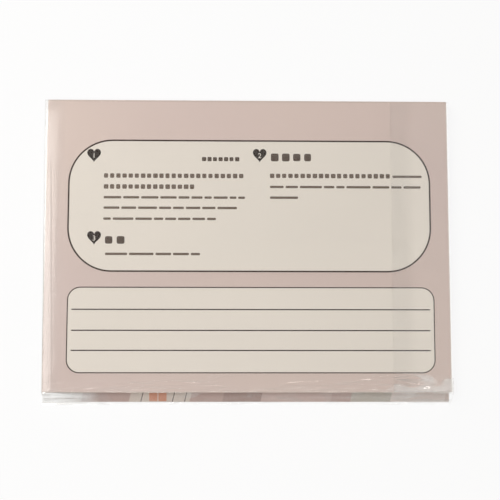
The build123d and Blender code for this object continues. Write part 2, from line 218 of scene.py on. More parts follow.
# %% Helpers for groups and materials
def new_group(**takes):
    """Makes a node group of the function under it. takes names the group's inputs
    and their usual values. The function adds nodes and returns what they put out."""

    def build(add_nodes):
        tree = bpy.data.node_groups.new(add_nodes.__name__, "ShaderNodeTree")

        def add_socket(label, side, kind):
            label, kind = label.replace("_", " "), "NodeSocket" + kind
            return tree.interface.new_socket(label, in_out=side, socket_type=kind)

        for label, value in takes.items():
            kind = {4: "Color", 3: "Vector"}[len(value)] if isinstance(value, tuple) else "Float"
            add_socket(label, "INPUT", kind).default_value = value
        gives = add_nodes(tree, tree.nodes.new("NodeGroupInput").outputs)
        for label in gives:
            add_socket(label, "OUTPUT", "Color" if label == "Tone" else "Float")
        outlet = tree.nodes.new("NodeGroupOutput").inputs
        for label, value in gives.items():
            tree.links.new(value, outlet[label])
        print("group", tree.name, "with", len(tree.nodes), "nodes")
        return tree

    return build


def use(tree, group, **values):
    """Places a group in a tree, with a value or a link for each named input."""
    placed = tree.nodes.new("ShaderNodeGroup")
    placed.node_tree = group
    for name, value in values.items():
        join(tree, value, placed.inputs[name.replace("_", " ")])
    return placed.outputs


def new_finish(name):
    """A material with its Principled shader, and its node tree."""
    finish = bpy.data.materials.new(name)
    finish.use_nodes = True
    return finish, finish.node_tree


def feed(tree, height=None, depth=0.02, **values):
    """Sets or links inputs of the shader, and a bump from a height, depth mm deep."""
    shader = tree.nodes["Principled BSDF"]
    if height is not None:
        values["Normal"] = bump(height, depth)
    for name, value in values.items():
        join(tree, value, shader.inputs[name.replace("_", " ")])
    return shader


# %% [markdown]
# ## Effects that several finishes share
# Card stock shows pale clouds a few centimetres wide, fine fibres, and a
# scuffed line along its rim where the ink has worn to white board. Film shows
# long faint creases. Metal has fine drawn lines, and moulded plastic a fine
# grain. Each is a group, so that all pieces of one stuff share one recipe.


# %% Groups for paper, film, metal and plastic
GREY = (0.5, 0.5, 0.5, 1.0)


@new_group(Tone=GREY, Cloud=0.04, Fibre=0.03, Warm=GREY)
def paper_fibre(tree, takes):
    place = place_in(tree)
    cloud, drift = noise_node(place, 24.0, 3.0), noise_node(place, 9.0, 1.0)
    grain = noise_node(place, 1100.0, 4.0, Roughness=0.62)
    turned = mapped(place, Rotation=(0, 0, 0.6), Scale=(260, 1500, 900))
    strands = noise_node(turned, 1.0, Distortion=1.2)
    fibre = plus(times(grain, 0.6), times(strands, 0.4))
    light = plus(
        times(minus(cloud, 0.5), takes["Cloud"]), times(minus(fibre, 0.5), takes["Fibre"])
    )
    warmed = between(spread(drift, 0.35, 0.65, 0.0, 0.6), takes["Tone"], takes["Warm"])
    return {"Tone": brighter(warmed, plus(light, 1.0)), "Grain": grain, "Height": fibre}


@new_group(Half_width=0.1, Low_edge=-0.07, High_edge=0.07, Scuff=0.0005, Cut_sides=(1, 1, 0))
def board_rim(tree, takes):
    """Masks for a cut board: its cut faces, and scuffs within a mm of its rim."""
    coordinates = node(tree, "TexCoord").outputs
    facing = length(stretched(coordinates["Normal"], takes["Cut sides"]))
    x, y, _ = axes(coordinates["Object"])
    side = minus(takes["Half width"], maths("ABSOLUTE", x))
    low, high = minus(y, takes["Low edge"]), minus(takes["High edge"], y)
    inside = maths("MINIMUM", side, maths("MINIMUM", low, high))
    ragged = noise_node(coordinates["Object"], 420.0, 3.0)
    reach = times(minus(ragged, 0.35), takes["Scuff"])
    return {
        "Cut": maths("GREATER_THAN", facing, 0.8),
        "Worn": maths("LESS_THAN", inside, reach),
    }


@new_group(Haze=0.01, Streak=0.02, Along=(14, 130, 60))
def film_creases(tree, takes):
    """Long soft creases, small cockles and dust-fine haze in clear film."""
    place = place_in(tree)
    lines = noise_node(stretched(place, takes["Along"]), 1.0, 3.0, Distortion=0.7)
    cockle = noise_node(place, 45.0)
    return {
        "Haze": plus(takes["Haze"], times(spread(lines, 0.56, 0.75), takes["Streak"])),
        "Roughness": spread(cockle, 0.3, 0.7, 0.025, 0.06),
        "Height": plus(lines, times(cockle, 2.0)),
    }


@new_group(Tone=GREY, Tarnish=(0.3, 0.28, 0.25, 1.0), Amount=0.2, Lines=(300, 4000, 1500))
def drawn_metal(tree, takes):
    place = place_in(tree)
    lines = noise_node(stretched(place, takes["Lines"]), 1.0)
    spots = spread(noise_node(place, 320.0, 4.0), 0.5, 0.75)
    return {
        "Tone": between(times(spots, takes["Amount"]), takes["Tone"], takes["Tarnish"]),
        "Roughness": spread(lines, 0.3, 0.7, 0.22, 0.4),
        "Height": lines,
    }


@new_group(Tone=GREY, Dust=(0.6, 0.57, 0.53, 1.0), Dusting=0.1, Rough=0.45, Size=1500.0)
def moulded_grain(tree, takes):
    place = place_in(tree)
    grain = noise_node(place, takes["Size"])
    dust = times(spread(noise_node(place, 160.0, 5.0), 0.45, 0.75), takes["Dusting"])
    uneven = plus(takes["Rough"], spread(grain, 0.3, 0.7, -0.06, 0.08))
    return {
        "Tone": between(dust, takes["Tone"], takes["Dust"]),
        "Roughness": plus(uneven, times(dust, 0.5)),
        "Height": grain,
    }


# %% [markdown]
# ## The printed board
# The card is one sheet of satin board, printed dusty pink, scored twice and
# folded round the module. A flat pink would look like plastic, so the finish
# adds clouds and fibre, and lets the white core show on the cut edges and in
# small scuffs along the rim. The same recipe serves all three panels, each
# with its own edges. On the back the pink is also painted lighter towards the
# far edge, except near the right end: painted light, not the board's colour.

# %% Finish of the printed board
PINK = tone(203, 184, 177)
PINK_WARM = tone(208, 190, 179)
BOARD_CORE = tone(226, 219, 208)
dressed = set()


def board_finish(name, low, high, painted_head_light=0.0, cut_sides=(1, 1, 0)):
    """Board between two corners in mm. The fourth number is how much lighter
    it is painted towards its far edge: painted light.
    """
    finish, tree = new_finish(name)
    paper = use(tree, paper_fibre, Tone=PINK, Warm=PINK_WARM, Cloud=0.05, Fibre=0.05)
    rim = use(
        tree, board_rim, Half_width=high.x * MM, Low_edge=low.y * MM, High_edge=high.y * MM,
        Scuff=0.0016, Cut_sides=cut_sides,
    )
    bare = maths("MAXIMUM", rim["Cut"], times(rim["Worn"], 0.55))
    printed = paper["Tone"]
    if painted_head_light:
        x, y, _ = axes(place_in(tree))
        # Painted light: the pink is brightened towards the far edge (+y), and not near the right
        # end.
        painted_light_share = times(spread(y, -0.012, high.y * MM, 0.0, painted_head_light), spread(x, 0.09, 0.06))
        printed = brighter(printed, plus(painted_light_share, 1.0))
    feed(
        tree, paper["Height"], 0.012, Base_Color=between(bare, printed, BOARD_CORE),
        Roughness=spread(paper["Grain"], 0.3, 0.7, 0.36, 0.5), Specular_IOR_Level=0.45,
    )
    return finish


def dress(finish, *names):
    """Gives a finish to CAD nodes, by their material slot alone."""
    for name in names:
        nodes[name].data.materials.clear()
        nodes[name].data.materials.append(finish)
    dressed.update(names)
    print(finish.name, "on", *names)


# The back is painted lighter towards its far edge: painted light.
dress(board_finish("printed board back", back_low, back_high, painted_head_light=0.085), "back_cover")
dress(board_finish("printed board front", front_low, front_high), "front_cover")
# The spine's printed face stands upright, so only its two ends are cut, and the
# rim that scuffs is set well off its face.
PAST_FACE = Vector((0, 5, 0))
board_spine = board_finish(
    "printed board spine", spine_low - PAST_FACE, spine_high + PAST_FACE, cut_sides=(1, 0, 0)
)
dress(board_spine, "spine_strip")


# %% [markdown]
# ## Ink
# Printing has no thickness to speak of. It could be painted by the board's
# own nodes, but then its edges are only as sharp as a baked picture. Here
# each colour is a sheet of ink a hundredth of a millimetre thick, cut by
# bmesh into frames, bars and hearts, so its edges stay crisp at any size.


# %% Helpers that cut ink shapes, in mm
def finish_of_ink(name, colour, patch=0.1):
    """Flat ink with the fibre of the paper under it, and small thin places."""
    finish, tree = new_finish(name)
    faded = tuple(min(1.0, c * (1 + patch)) for c in colour[:3]) + (1.0,)
    paper = use(tree, paper_fibre, Tone=colour, Warm=faded, Cloud=patch, Fibre=0.05)
    feed(tree, paper["Height"], 0.008, Base_Color=paper["Tone"], Specular_IOR_Level=0.08)
    return finish


def grid(bm, columns=1, rows=1, size=0.5):
    return bmesh.ops.create_grid(bm, x_segments=columns, y_segments=rows, size=size)["verts"]


def bevelled(bm, parts, offset, steps, affect):
    """Rounds corners or edges, and returns the new points."""
    return bmesh.ops.bevel(
        bm, geom=parts, offset=offset, segments=steps, profile=0.5, affect=affect, material=-1
    )["verts"]


def box_shape(bm, x0, x1, y0, y1, corner=0.0, steps=6):
    """A rectangle with rounded corners, as one face."""
    made = grid(bm)
    place = Matrix.Translation(((x0 + x1) / 2, (y0 + y1) / 2, 0))
    size = Matrix.Diagonal((x1 - x0, y1 - y0, 1, 1))
    bmesh.ops.transform(bm, matrix=place @ size, verts=made)
    if corner:
        made = bevelled(bm, made, corner, steps, "VERTICES")
    return made[0].link_faces[0]


def hollow(bm, face, width):
    """Leaves an outline of even width in a face's place."""
    bmesh.ops.inset_individual(bm, faces=[face], thickness=width, use_even_offset=True)
    bmesh.ops.delete(bm, geom=[face], context="FACES_ONLY")


def frame_shape(bm, x0, x1, y0, y1, corner, width, steps=20):
    """An outline of a rounded rectangle."""
    hollow(bm, box_shape(bm, x0, x1, y0, y1, corner, steps), width)


def dot_shape(bm, x, y, radius, steps=16):
    rim = bmesh.ops.create_circle(bm, cap_ends=True, radius=radius, segments=steps)["verts"]
    bmesh.ops.translate(bm, vec=(x, y, 0), verts=rim)
    return rim


def ring_shape(bm, x, y, radius, width, steps):
    hollow(bm, dot_shape(bm, x, y, radius, steps)[0].link_faces[0], width)


def dots_shape(bm, x, y, wide, tall, count, radius):
    """Dots set out evenly round an oval."""
    for step in range(count):
        turn = math.tau * step / count
        dot_shape(bm, x + wide * math.cos(turn), y + tall * math.sin(turn), radius)


def heart_shape(bm, x, y, width, steps=48):
    """A round disc whose rim is drawn into a heart, width mm wide."""
    unit = width / 32
    for vert in dot_shape(bm, 0, 0, 1, steps):
        turn = math.atan2(vert.co.x, vert.co.y)
        across = 16 * math.sin(turn) ** 3
        up = 13 * math.cos(turn) - 5 * math.cos(2 * turn)
        up -= 2 * math.cos(3 * turn) + math.cos(4 * turn)
        vert.co = (x + across * unit, y + (1.12 * up + 2.9) * unit, 0)


# %% Helpers that make pieces
def mesh_object(name, bm, finish, smooth=False, unit=MM):
    """A mesh object from a bmesh whose unit is given in metres."""
    bmesh.ops.scale(bm, vec=(unit, unit, unit), verts=bm.verts)
    mesh = bpy.data.meshes.new(name)
    bm.to_mesh(mesh)
    bm.free()
    if smooth:
        mesh.shade_smooth()
    mesh.materials.append(finish)
    print(name, "has", len(mesh.polygons), "faces")
    return add_object(name, mesh)


def new_piece(name, bm, finish, body, smooth=False):
    """A mesh object that rides on a body."""
    piece = mesh_object(name, bm, finish, smooth)
    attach(piece, body)
    return piece


INK_T = 0.01


def print_ink(name, printed_face, layer, ink, *shapes):
    """A sheet of ink. Each shape is a function that cuts it, with its numbers."""
    level, way, body, slot = printed_face
    bm = bmesh.new()
    for cut, *numbers in shapes:
        cut(bm, *numbers)
    bmesh.ops.dissolve_degenerate(bm, dist=1e-5, edges=bm.edges)
    raised = bmesh.ops.extrude_face_region(bm, geom=list(bm.faces))["geom"]
    verts = [part for part in raised if isinstance(part, bmesh.types.BMVert)]
    bmesh.ops.translate(bm, vec=(0, 0, way * INK_T), verts=verts)
    bmesh.ops.translate(bm, vec=(0, 0, level + way * layer * INK_T), verts=bm.verts)
    bmesh.ops.recalc_face_normals(bm, faces=bm.faces)
    return new_piece(name, bm, ink, body)


# %% [markdown]
# ## The printed back
# Two cream panels with thin dark outlines carry the maker's notes and three
# ruled lines to write on. The notes themselves are left out: rows of plain
# bars and small blocks keep their place, their weight and their rhythm. Three
# hearts number the notes, as on any such leaflet. A printed face is written
# as its level in mm, the way its ink builds up, its body and its slot.

# %% Print the panels, outlines and rules
cream_ink = finish_of_ink("cream ink", tone(230, 223, 213), patch=0.03)
dark_ink = finish_of_ink("dark brown ink", tone(44, 23, 11), patch=0.15)
BACK = (back_high.z, 1, "back_leaf", "printed_card")
UPPER_PANEL = (-89.2, 91.2, -10.6, 55.6, 22.0)
LOWER_PANEL = (-88.6, 92.25, -60.1, -17.9, 6.6)
UPPER_LINE, LOWER_LINE, RULE = 0.78, 0.52, 0.58
RULES_AT = (-29.0, -39.25, -49.0)
upper, lower = (box_shape, *UPPER_PANEL, 20), (box_shape, *LOWER_PANEL, 10)
print_ink("back_print_panels", BACK, 0, cream_ink, upper, lower)
print_ink(
    "back_print_lines", BACK, 1, dark_ink,
    (frame_shape, *UPPER_PANEL, UPPER_LINE),
    (frame_shape, *LOWER_PANEL, LOWER_LINE),
    *((box_shape, -86.3, 89.9, y - RULE / 2, y + RULE / 2) for y in RULES_AT),
)


# %% Print the numbered hearts
def numeral_shape(bm, x, y, text, height=3.6):
    """A plain numeral from Blender's own font, as flat faces."""
    curve = bpy.data.curves.new("numeral", "FONT")
    curve.body = text
    curve.size = height
    curve.align_x, curve.align_y = "CENTER", "CENTER"
    curve.resolution_u = 3
    shown = add_object("numeral", curve)
    graph = bpy.context.evaluated_depsgraph_get()
    mesh = bpy.data.meshes.new_from_object(shown.evaluated_get(graph))
    mesh.transform(Matrix.Translation((x, y, 0)))
    bm.from_mesh(mesh)
    bmesh.ops.remove_doubles(bm, verts=bm.verts, dist=1e-4)
    bpy.data.objects.remove(shown)
    bpy.data.curves.remove(curve)
    bpy.data.meshes.remove(mesh)


HEARTS_AT = ((-76.6, 47.4), (5.9, 47.7), (-75.9, 6.1))
heart_ink = finish_of_ink("heart ink", tone(28, 13, 2), patch=0.15)
hearts = [(heart_shape, x, y, 6.8) for x, y in HEARTS_AT]
numerals = [(numeral_shape, x, y - 0.1, str(k)) for k, (x, y) in enumerate(HEARTS_AT, start=1)]
print_ink("back_print_hearts", BACK, 1, heart_ink, *hearts)
print_ink("back_print_numerals", BACK, 2, cream_ink, *numerals)

# %% Print bars and blocks in place of the notes
dice = random.Random(7)


def block_row(bm, x0, x1, y, size, pitch):
    """A row of small blocks, as square characters would fill it."""
    count = round((x1 - x0 + pitch - size) / pitch)
    for step in range(count):
        x = x0 + step * pitch
        tall = size * dice.uniform(0.78, 0.88)
        wide = size * dice.uniform(0.74, 0.86)
        box_shape(bm, x, x + wide, y - tall / 2, y + tall / 2, size * 0.16, 2)


def bar_row(bm, x0, x1, y, words, height=1.2):
    """A row of bars of uneven length, as words would fill it, ending at x1."""
    gap = height * 0.8
    shares = [dice.uniform(0.5, 1.6) for _ in range(words)]
    room = (x1 - x0) - gap * (words - 1)
    x = x0
    for share in shares:
        end = x + room * share / sum(shares)
        box_shape(bm, x, end, y - height / 2, y + height / 2, height * 0.35, 3)
        x = end + gap


note_ink = finish_of_ink("soft brown ink", tone(109, 95, 83), patch=0.12)
heading_ink = finish_of_ink("heading ink", tone(84, 70, 60), patch=0.12)
print_ink(
    "back_print_notes", BACK, 1, note_ink,
    (block_row, -71.5, -1.4, 37.4, 2.7, 3.05),
    (block_row, -71.5, -25.3, 31.9, 2.7, 3.05),
    (block_row, 11.0, 71.5, 37.6, 2.7, 3.05),
    (bar_row, -71.5, -1.4, 26.5, 10),
    (bar_row, -71.5, -5.4, 21.3, 8),
    (bar_row, -71.5, -15.8, 15.8, 8),
    (bar_row, -70.4, -23.6, -1.7, 5),
    (bar_row, 72.3, 86.9, 37.4, 1),
    (bar_row, 11.0, 86.3, 32.0, 9),
    (bar_row, 11.0, 25.0, 26.6, 1),
)
print_ink(
    "back_print_headings", BACK, 1, heading_ink,
    (block_row, -22.9, -3.9, 45.9, 2.5, 2.75),
    (block_row, 11.5, 33.3, 46.9, 4.6, 5.55),
    (block_row, -70.5, -59.4, 5.2, 4.7, 5.75),
)

# %% [markdown]
# ## Inside of the front leaf
# Past the back leaf's edge a narrow strip of the front leaf's inner face
# shows: slanted panels of dusty pink, cream and grey, thin slanted lines and
# a pair of small orange squares. The strip is one border along the open edge.
# Inside it the leaf has plain ruled lines for a greeting.

# %% Print the border and the writing lines
INSIDE = (front_high.z, 1, "front_leaf", "printed_card")
BORDER_LOW, BORDER_HIGH = front_low.y + 0.02, front_low.y + 9.0
LEAN = 2.2


def slanted_shape(bm, x0, x1):
    """A panel of the border. Its far end lies further to the right, by LEAN."""
    for vert in grid(bm):
        x = x1 if vert.co.x > 0 else x0
        far = vert.co.y > 0
        vert.co = (x + LEAN, BORDER_HIGH, 0) if far else (x, BORDER_LOW, 0)


border = {
    "rose": (tone(192, 165, 157), (-82.0, -58.5), (-28.6, -12.5), (41.0, 50.8)),
    "oat": (tone(214, 201, 191), (-99.9, -82.0), (-58.5, -28.6)),
    "dusk": (tone(174, 149, 141), (-12.5, 6.4)),
    "shell": (tone(205, 182, 175), (6.4, 41.0)),
    "moss": (tone(195, 187, 177), (50.8, 70.6)),
    "mist": (tone(224, 212, 206), (70.6, 97.6)),
}
for shade, (colour, *spans) in border.items():
    ink = finish_of_ink(shade + " ink", colour, patch=0.06)
    print_ink("inner_border_" + shade, INSIDE, 0, ink, *((slanted_shape, *s) for s in spans))
rose_ink = bpy.data.materials["rose ink"]
coral_ink = finish_of_ink("coral ink", tone(205, 141, 111))

SQUARE = (BORDER_LOW + 0.3, BORDER_LOW + 4.4, 0.4, 3)
squares = [(box_shape, x, x + 4.1, *SQUARE) for x in (-48.4, -43.9)]
ticks = [(slanted_shape, x, x + 0.35) for x in (-52.7, -37.2, -31.2)]
writing = [(box_shape, -80.0, 80.0, y - 0.2, y + 0.2) for y in range(48, -49, -12)]
print_ink("inner_border_squares", INSIDE, 1, coral_ink, *squares)
print_ink("inner_border_lines", INSIDE, 1, dark_ink, *ticks)
print_ink("inner_writing_lines", INSIDE, 0, rose_ink, *writing, (heart_shape, 0, 62.0, 8.0))

# %% [markdown]
# ## Outside of the front leaf
# The photograph never shows the front. It gets a plain design in the same
# colours: a cream panel with a double outline, a row of hearts and a large
# heart in the middle, printed on the face that lies on the table.

# %% Print the front
OUTSIDE = (front_low.z, -1, "front_leaf", "printed_card")
COVER_PANEL = (-86, 86, -60, 62, 16)
print_ink("cover_print_panel", OUTSIDE, 0, cream_ink, (box_shape, *COVER_PANEL, 16))
print_ink(
    "cover_print_lines", OUTSIDE, 1, dark_ink,
    (frame_shape, *COVER_PANEL, 0.7),
    (frame_shape, -82, 82, -56, 58, 12, 0.35),
)
small = [(heart_shape, x, y, 6.5) for x in (-60, -40, -20, 20, 40, 60) for y in (-44, 46)]
print_ink("cover_print_hearts", OUTSIDE, 1, rose_ink, (heart_shape, 0, 6, 46, 96), *small)
print_ink("cover_print_dots", OUTSIDE, 1, coral_ink, (dots_shape, 0, 3, 36, 34, 44, 0.8))

# %% [markdown]
# ## Paper inside the back leaf
# A sheet of uncoated cream paper hides the module. Rings are printed round
# the sound holes, the microphone hole and the red button, so that a finger
# finds them. It faces down while the card is shut.

# %% Finish and print the liner
liner_paper, tree = new_finish("uncoated cream paper")
paper = use(
    tree, paper_fibre, Tone=tone(236, 229, 216), Warm=tone(233, 224, 208), Cloud=0.05, Fibre=0.09
)
feed(tree, paper["Height"], Base_Color=paper["Tone"], Roughness=0.8)
dress(liner_paper, "inner_liner")

LINER = (box_mm("inner_liner")[0].z, -1, "back_leaf", "inner_paper")
print_ink(
    "liner_print_rings", LINER, 0, dark_ink,
    (ring_shape, *SPEAKER_AT, 13.2, 0.4, 64),
    (ring_shape, *SPEAKER_AT, 14.6, 0.25, 64),
    (ring_shape, *BUTTON_AT, 8.4, 0.5, 48),
    (ring_shape, *MIC_AT, 3.2, 0.3, 32),
    (frame_shape, -92, 92, -61, 68, 10, 0.4, 12),
)
print_ink(
    "liner_print_hearts", LINER, 0, rose_ink,
    *((heart_shape, x, y, 6) for x, y in ((-86, 62), (86, 62), (-86, -55), (86, -55))),
    (dots_shape, *BUTTON_AT, 10.2, 10.2, 12, 0.45),
)

# %% [markdown]
# ## Foam round the module
# Four strips of white closed-cell foam hold the back leaf off the liner. They
# are cut with a blade from sheet, so their faces are flat where they are
# glued, their sides waver a little, and open cells pit the cut. Each strip
# starts as a cube, is cut into short lengths, and has its side faces pushed
# about by smooth noise, with its rims bevelled.

# %% Cut the foam strips
foam_white, tree = new_finish("white closed-cell foam")
place = place_in(tree)
cells = node(tree, "TexVoronoi", {"Vector": place, "Scale": 1500.0}).outputs["Distance"]
shade = plus(times(cells, 0.5), times(noise_node(place, 380.0, 3.0), 0.5))
colour = between(spread(shade, 0.2, 0.7), tone(226, 225, 221), tone(246, 246, 243))
deep = {"Subsurface_Weight": 0.1, "Subsurface_Radius": (0.002, 0.002, 0.002)}
feed(tree, shade, 0.12, Base_Color=colour, Roughness=0.85, **deep)
FOAM_RIM, FOAM_STEP = 0.18, 2.5


def foam_strip(node_name, piece_name):
    low, high = box_mm(node_name)
    size, middle = high - low, (high + low) / 2
    bm = bmesh.new()
    made = bmesh.ops.create_cube(bm, size=1)["verts"]
    bmesh.ops.scale(bm, vec=size, verts=made)
    bmesh.ops.translate(bm, vec=middle, verts=made)
    bevelled(bm, bm.edges[:], FOAM_RIM, 2, "EDGES")
    along = 0 if size.x > size.y else 1
    across = 1 - along
    direction = Vector((across, along, 0))
    cuts = int(size[along] / FOAM_STEP)
    for step in range(1, cuts):
        at = Vector(low)
        at[along] += size[along] * step / cuts
        everything = bm.verts[:] + bm.edges[:] + bm.faces[:]
        bmesh.ops.bisect_plane(bm, geom=everything, plane_co=at, plane_no=direction)
    for vert in bm.verts:
        side = 1 if vert.co[across] > middle[across] else -1
        waver = noise.noise(vert.co * 0.11) * 0.16 + noise.noise(vert.co * 0.7) * 0.04
        vert.co[across] -= side * (0.1 + waver * 0.5)
    bmesh.ops.triangulate(bm, faces=[face for face in bm.faces if len(face.verts) > 4])
    piece = new_piece(piece_name, bm, foam_white, "back_leaf")
    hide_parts(node_name)


for end in ("fold_side", "open_side", "left", "right"):
    foam_strip("foam_strip_" + end, "cut_foam_" + end)

# %% [markdown]
# ## Felt
# Black felt rings seal the speaker and the microphone against the liner. Felt
# is fibres, not a disc, so each ring is spun from a small flat profile and
# its outer faces are ruffled by noise.

# %% Make the felt rings
black_felt, tree = new_finish("black felt")
fuzz = noise_node(place_in(tree), 2600.0, 5.0)
colour = between(spread(fuzz, 0.35, 0.7), tone(24, 24, 25), tone(62, 61, 60))
feed(tree, fuzz, 0.15, Base_Color=colour, Roughness=0.95, Sheen_Weight=0.3)


def felt_ring(node_name, piece_name, hole, steps):
    """A ring spun about its own axis, from a profile that fits the node's box."""
    low, high = box_mm(node_name)
    centre = (low + high) / 2
    outer = (high.x - low.x) / 2
    bm = bmesh.new()
    profile = grid(bm, 4, 2)
    bmesh.ops.transform(bm, matrix=Matrix.Rotation(math.pi / 2, 4, "X"), verts=profile)
    bmesh.ops.scale(bm, vec=(outer - hole, 1, high.z - low.z), verts=profile)
    middle = Vector((centre.x + (outer + hole) / 2, centre.y, centre.z))
    bmesh.ops.translate(bm, vec=middle, verts=profile)
    rim = [edge for edge in bm.edges if edge.is_boundary]
    bmesh.ops.delete(bm, geom=bm.faces[:], context="FACES_ONLY")
    inner = [edge for edge in bm.edges if edge not in rim]
    bmesh.ops.delete(bm, geom=inner, context="EDGES")
    turn = {"axis": (0, 0, 1), "angle": math.tau, "steps": steps, "use_merge": True}
    bmesh.ops.spin(bm, geom=bm.verts[:] + bm.edges[:], cent=centre, **turn)
    bmesh.ops.remove_doubles(bm, verts=bm.verts[:], dist=1e-4)
    for vert in bm.verts:
        flat = Vector((vert.co.x - centre.x, vert.co.y - centre.y, 0))
        if abs(flat.length - outer) < 0.01:
            vert.co += flat.normalized() * (noise.noise(vert.co * 1.7) * 0.05 - 0.03)
    bmesh.ops.recalc_face_normals(bm, faces=bm.faces[:])
    piece = new_piece(piece_name, bm, black_felt, "back_leaf")
    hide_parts(node_name)


felt_ring("speaker_gasket", "felt_gasket_speaker", 11.0, 96)
felt_ring("microphone_felt", "felt_disc_microphone", 0.0, 40)

# %% [markdown]
# ## The module
# None of the module shows in the photograph, but the open card shows the red
# button and, through the sound holes, the speaker. Every part still gets the
# finish of the real one: solder mask with copper tracks under it, nickel
# plating with drawn lines, moulded plastic with grain, a rippled cone.


# %% Finishes of plastics, rubber and resin
def finish_of_group(name, group, takes, depth, **plain):
    """A finish whose colour, roughness and bump come from one group."""
    finish, tree = new_finish(name)
    made = use(tree, group, **takes)
    colour, roughness = made["Tone"], made["Roughness"]
    feed(tree, made["Height"], depth, Base_Color=colour, Roughness=roughness, **plain)
    return finish


def plastic(name, colour, rough, dusting=0.1, coat=0.0, size=1500.0, depth=0.02):
    takes = {"Tone": colour, "Dusting": dusting, "Rough": rough, "Size": size}
    return finish_of_group(name, moulded_grain, takes, depth, Coat_Weight=coat)


dress(plastic("red button", tone(214, 54, 50), 0.22, 0.04, coat=0.3), "button_cap")
black_plastic = plastic("matt black plastic", tone(34, 34, 36), 0.5, 0.12)
dress(black_plastic, "switch_plunger", "switch_base", "chip_resistors")
dress(plastic("white plastic", tone(236, 235, 230), 0.4, 0.06), "battery_holder")
dress(plastic("black resin", tone(16, 16, 17), 0.16, 0.08, 0.4, 500.0, 0.05), "sound_chip")
dress(plastic("tan ceramic", tone(192, 164, 128), 0.55, 0.05, size=3000.0), "chip_capacitors")
red_rubber = plastic("red wire", tone(200, 32, 30), 0.38, 0.08, size=900.0)
black_rubber = plastic("black wire", tone(28, 28, 29), 0.38, 0.08, size=900.0)
dress(red_rubber, "speaker_wire_red", "battery_wire_red")
dress(black_rubber, "speaker_wire_black", "battery_wire_black")
dress(plastic("tape", tone(232, 226, 204), 0.6, 0.1, size=700.0), "board_tape", "holder_tape")


# %% Finishes of metal
def metal(name, colour, amount=0.15, lines=(300, 4000, 1500), depth=0.004):
    takes = {"Tone": colour, "Amount": amount, "Lines": lines}
    return finish_of_group(name, drawn_metal, takes, depth, Metallic=1.0)


plated_steel = metal("plated steel", tone(206, 206, 204))
dress(plated_steel, "switch_cover", "switch_dome", "switch_pins", "microphone_can")
dress(plated_steel, "battery_cell_1", "battery_cell_2", "battery_cell_3")
dress(plated_steel, "speaker_frame", "speaker_yoke", "speaker_pole_plate")
spring_strip = metal("plated spring strip", tone(222, 200, 150), 0.2, (3000, 300, 300))
dress(spring_strip, "positive_contact", "negative_contact", "cell_link_floor", "cell_link_face")
bright_solder = metal("solder", tone(212, 213, 214), 0.3, (700, 700, 700), 0.03)
dress(bright_solder, "solder_joints", "microphone_pins")
dress(metal("magnet", tone(170, 170, 172), 0.3, (500, 500, 500)), "speaker_magnet")
dress(metal("copper winding", tone(196, 118, 70), 0.1, (20, 20, 12000), 0.02), "voice_coil")

# %% Finish of the circuit board, with tracks under the solder mask
solder_mask, tree = new_finish("green solder mask")
place = place_in(tree)
TRACKS = {"Scale": 300.0, "Mortar Size": 0.11, "Brick Width": 2.4, "Row Height": 0.42}
tracks = node(tree, "TexBrick", {"Vector": place, **TRACKS}).outputs["Fac"]
tracks = times(tracks, spread(noise_node(place, 140.0, 1.0), 0.48, 0.52))
colour = between(tracks, tone(18, 92, 52), tone(44, 128, 70))
feed(tree, tracks, 0.03, Base_Color=colour, Roughness=0.28, Coat_Weight=0.4)
dress(solder_mask, "circuit_board", "speaker_terminal")

# %% Finish of the speaker cone, rippled round its axis
cone_film, tree = new_finish("drawn film cone")
centred = mapped(place_in(tree), Location=(-SPEAKER_AT[0] * MM, -SPEAKER_AT[1] * MM, 0))
radius = length(stretched(centred, (1, 1, 0)))
ripple = maths("SINE", times(radius, 5200.0))
ripple = times(ripple, spread(radius, 0.0060, 0.0075))
colour = between(spread(ripple, -1, 1), tone(206, 200, 180), tone(224, 219, 202))
feed(tree, ripple, 0.06, Base_Color=colour, Roughness=0.3, Coat_Weight=0.3)
dress(cone_film, "speaker_cone")

# %% [markdown]
# ## Clear film
# The sleeve is a bag of clear film some fifty thousandths of a millimetre
# thick. Light mostly passes: seen from straight above, little more than a
# hundredth of it comes back from each face, and at a glancing angle all of it.
# Glass with real refraction would leave the card under it in the dark at low
# sample counts, so the film is one Principled shader whose Alpha is that share
# plus a faint haze, and whose Metallic is the mirror's part of it.

# %% Where the film differs, in metres from the middle of the card
ROLLED = (-0.0945, -0.0985)
ROLL_GROWS = (0.072, 0.005)
PUCKERED = (-0.06, -0.0635)
FOLDED_CORNER = (-0.072, -0.094)
# The film is painted whiter along its left edge: a painted highlight over the rolled end.
PAINTED_LEFT_HIGHLIGHT = (-0.09, -0.0955)
BUNCHED_END = (0.058, 0.078)
BUNCHED_SEAM = (-0.0595, -0.063)
OFF_THE_TABLE = (0.001, 0.003)
GLUE_FADE = (0.078, 0.083)
FILM_TINT = (0.95, 0.94, 0.92, 1.0)
GLUE_TINT = (0.3, 0.29, 0.27, 1.0)
FACE_MIRROR = 0.012
print("the film's rolled end starts at m", ROLLED[0])


